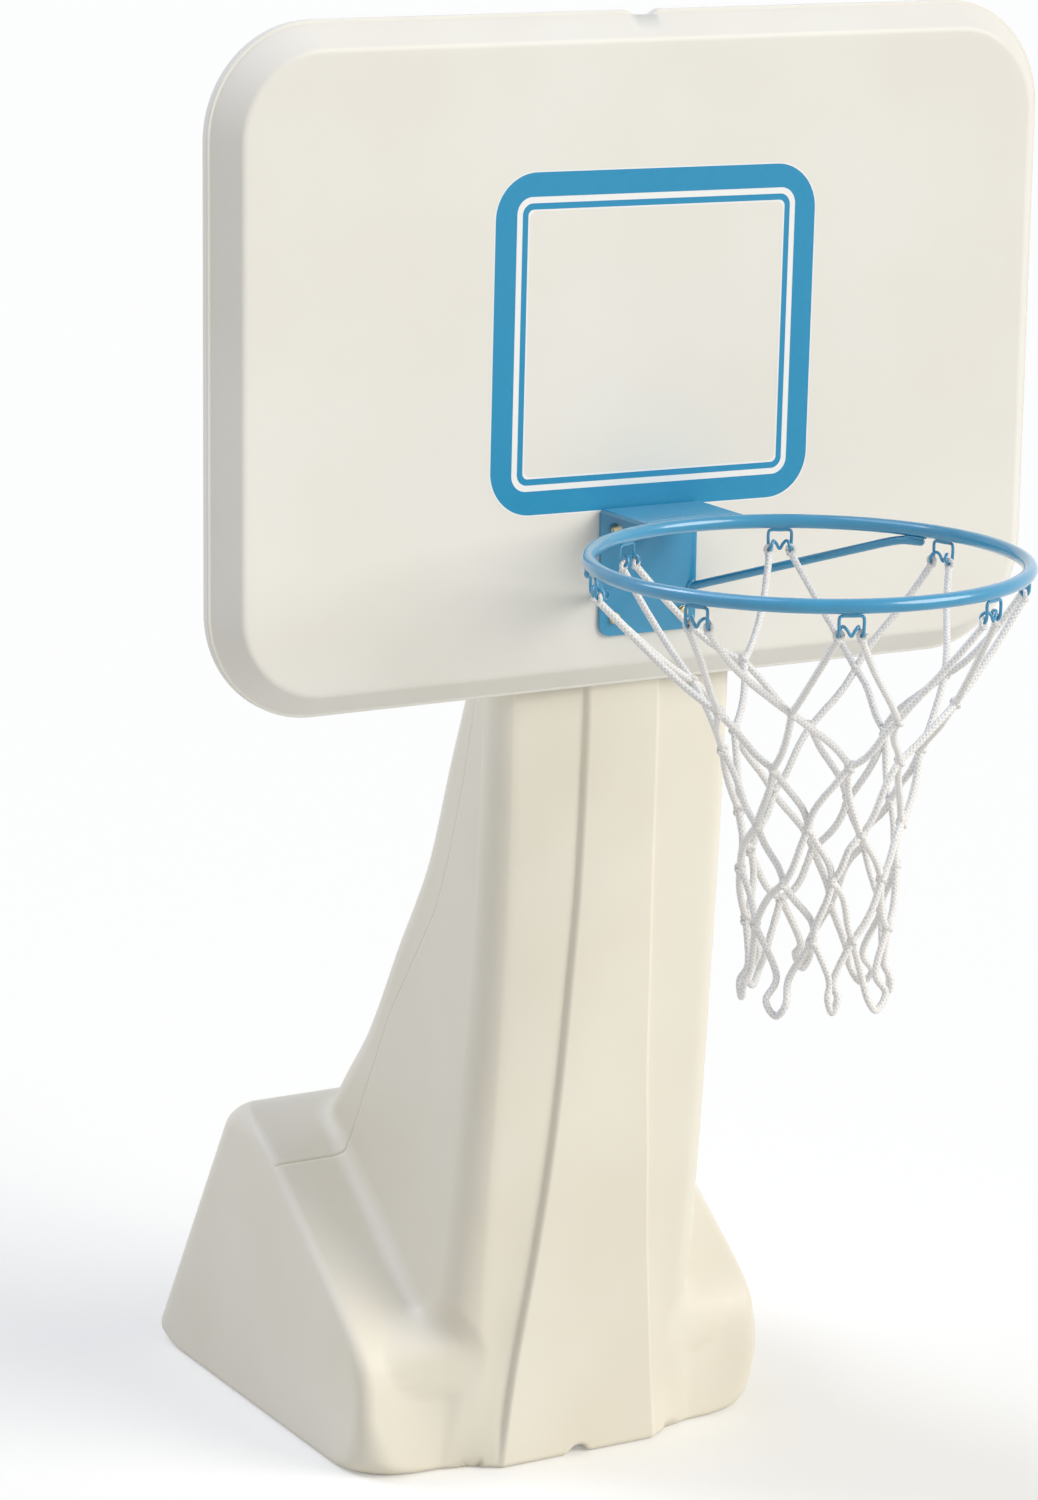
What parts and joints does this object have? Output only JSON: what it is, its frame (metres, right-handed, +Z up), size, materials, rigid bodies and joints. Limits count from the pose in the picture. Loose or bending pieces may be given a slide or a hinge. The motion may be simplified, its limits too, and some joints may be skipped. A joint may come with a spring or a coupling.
{
  "type": "poolside basketball hoop",
  "caption": "Poolside basketball hoop: a water-ballasted moulded stand whose column leans out, a bevelled backboard, and a steel rim with bracket, braces, wire hooks and cord net.",
  "frame": {"origin": "middle of the stand's footprint, on the floor", "axes": "+Z up, +Y back over the deck, -Y out over the pool, where the board and rim face, +X to the right of a player who faces the hoop"},
  "size_m": [1.076, 1.3226, 1.743],
  "materials": {
    "stand": "cream moulded HDPE, faintly grained",
    "board": "off-white moulded HDPE, satin, with a blue target",
    "blue_enamel": "glossy blue powder coat",
    "cord": "white braided cord",
    "bolt": "yellow zinc plate",
    "steel": "zinc plate",
    "brass": "turned",
    "cap": "grey moulded plastic",
    "rubber": "matt",
    "water": "clear water"
  },
  "bodies": {
    "stand": {"stand_shell": "stand", "backboard": "board", "rim_ring": "blue_enamel", "rim_bracket": "blue_enamel", "brace_left": "blue_enamel", "brace_right": "blue_enamel", "net": "cord", "backing_plate": "steel", "water_ballast": "water", "net_hook_1": "blue_enamel", "net_hook_2": "blue_enamel", "net_hook_3": "blue_enamel", "net_hook_4": "blue_enamel", "net_hook_5": "blue_enamel", "net_hook_6": "blue_enamel", "net_hook_7": "blue_enamel", "net_hook_8": "blue_enamel", "rim_bolt_1": "bolt", "rim_washer_1": "steel", "rim_nut_1": "steel", "rim_bolt_2": "bolt", "rim_washer_2": "steel", "rim_nut_2": "steel", "rim_bolt_3": "bolt", "rim_washer_3": "steel", "rim_nut_3": "steel", "rim_bolt_4": "bolt", "rim_washer_4": "steel", "rim_nut_4": "steel", "board_screw_1": "steel", "board_washer_1": "steel", "board_insert_1": "brass", "board_screw_2": "steel", "board_washer_2": "steel", "board_insert_2": "brass"},
    "cap_gasket": {"filler_gasket": "rubber"},
    "cap": {"filler_cap": "cap"},
    "plug_ring": {"drain_ring": "rubber"},
    "plug": {"drain_plug": "cap"}
  },
  "joints": [
    {"name": "cap_lift", "type": "slide", "parent": "stand", "child": "cap_gasket", "axis": [0, 0, 1], "range_m": [0, 0.015]},
    {"name": "cap_turn", "type": "hinge", "parent": "cap_gasket", "child": "cap", "pos_m": [0.216, 0.045, 0.381], "axis": [0, 0, 1], "range_deg": [0, 900]},
    {"name": "plug_draw", "type": "slide", "parent": "stand", "child": "plug_ring", "axis": [1, 0, 0], "range_m": [0, 0.016]},
    {"name": "plug_turn", "type": "hinge", "parent": "plug_ring", "child": "plug", "pos_m": [0.2885, 0.15, 0.045], "axis": [1, 0, 0], "range_deg": [0, 1440]}
  ],
  "couplings": [
    {"joint": "cap_lift", "follows": "cap_turn", "m_per_rad": 0.000954},
    {"joint": "plug_draw", "follows": "plug_turn", "m_per_rad": 0.000636}
  ]
}
